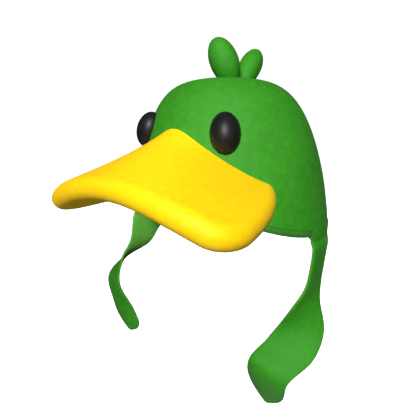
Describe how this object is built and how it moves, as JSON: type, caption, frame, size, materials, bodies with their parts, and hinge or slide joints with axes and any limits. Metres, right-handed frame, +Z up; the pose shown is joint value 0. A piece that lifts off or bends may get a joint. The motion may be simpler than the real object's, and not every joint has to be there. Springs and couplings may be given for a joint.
{
  "type": "duck head hat",
  "caption": "Soft hat in the shape of a duck's head, with a padded yellow bill, domed black eyes, a stuffed tuft and long ear-flap straps.",
  "frame": {"origin": "centre of the head opening, level with the hem over the ears", "axes": "+Z up through the crown, -Y to the front where the bill points, +X to the wearer's left"},
  "size_m": [0.2465, 0.2641, 0.3466],
  "materials": {
    "felt_green": "brushed felt fleece",
    "felt_light_green": "brushed felt fleece, lighter inner face",
    "hem_green": "stitched binding",
    "bill_yellow": "smooth satin-faced fleece",
    "foam_cream": "soft foam",
    "interlining_cream": "thin foam-backed interlining",
    "lining_green": "plain woven lining",
    "band_green": "ribbed sweatband",
    "label_white": "blank woven label",
    "eye_black": "satin-gloss moulded",
    "washer_white": "moulded",
    "filling_white": "polyester fibre filling"
  },
  "bodies": {
    "crown": {"crown_shell": "felt_green", "crown_interlining": "interlining_cream", "lining_gore_front_left": "lining_green", "lining_gore_back_left": "lining_green", "lining_gore_back_right": "lining_green", "lining_gore_front_right": "lining_green", "sweatband": "band_green", "hem_band": "hem_green", "care_label": "label_white", "bill_top_cover": "bill_yellow", "bill_bottom_cover": "bill_yellow", "bill_foam_core": "foam_cream", "eye_left": "eye_black", "eye_right": "eye_black", "eye_washer_left": "washer_white", "eye_washer_right": "washer_white"},
    "flap_left": {"ear_flap_outer_left": "felt_green", "ear_flap_lining_left": "felt_light_green"},
    "tail_left": {"strap_tail_outer_left": "felt_green", "strap_tail_lining_left": "felt_light_green"},
    "flap_right": {"ear_flap_outer_right": "felt_green", "ear_flap_lining_right": "felt_light_green"},
    "tail_right": {"strap_tail_outer_right": "felt_green", "strap_tail_lining_right": "felt_light_green"},
    "tuft_front": {"tuft_lobe_front": "felt_green", "tuft_filling_front": "filling_white"},
    "tuft_back": {"tuft_lobe_back": "felt_green", "tuft_filling_back": "filling_white"}
  },
  "joints": [
    {"name": "flap_left_swing", "type": "hinge", "parent": "crown", "child": "flap_left", "pos_m": [0.095, 0.002, -0.0023], "axis": [0, -1, 0], "range_deg": [-14, 55], "stiffness_Nm_per_rad": 0.06},
    {"name": "tail_left_swing", "type": "hinge", "parent": "flap_left", "child": "tail_left", "pos_m": [0.0975, -0.0115, -0.047], "axis": [-0.0865, -0.9888, 0.1219], "range_deg": [-20, 40], "stiffness_Nm_per_rad": 0.06},
    {"name": "flap_right_swing", "type": "hinge", "parent": "crown", "child": "flap_right", "pos_m": [-0.093, -0.022, -0.001], "axis": [-0.1035, 0.9848, -0.1392], "range_deg": [-25, 32], "stiffness_Nm_per_rad": 0.06},
    {"name": "tail_right_swing", "type": "hinge", "parent": "flap_right", "child": "tail_right", "pos_m": [-0.1145, -0.064, -0.0565], "axis": [-0.6917, 0.6917, -0.2079], "range_deg": [-20, 35], "stiffness_Nm_per_rad": 0.06},
    {"name": "tuft_front_flex", "type": "hinge", "parent": "crown", "child": "tuft_front", "pos_m": [0.0065, -0.017, 0.14485], "axis": [1, 0, 0], "range_deg": [-8, 10], "stiffness_Nm_per_rad": 0.06},
    {"name": "tuft_back_flex", "type": "hinge", "parent": "crown", "child": "tuft_back", "pos_m": [0.005, 0.009, 0.14435], "axis": [1, 0, 0], "range_deg": [-10, 8], "stiffness_Nm_per_rad": 0.06}
  ]
}
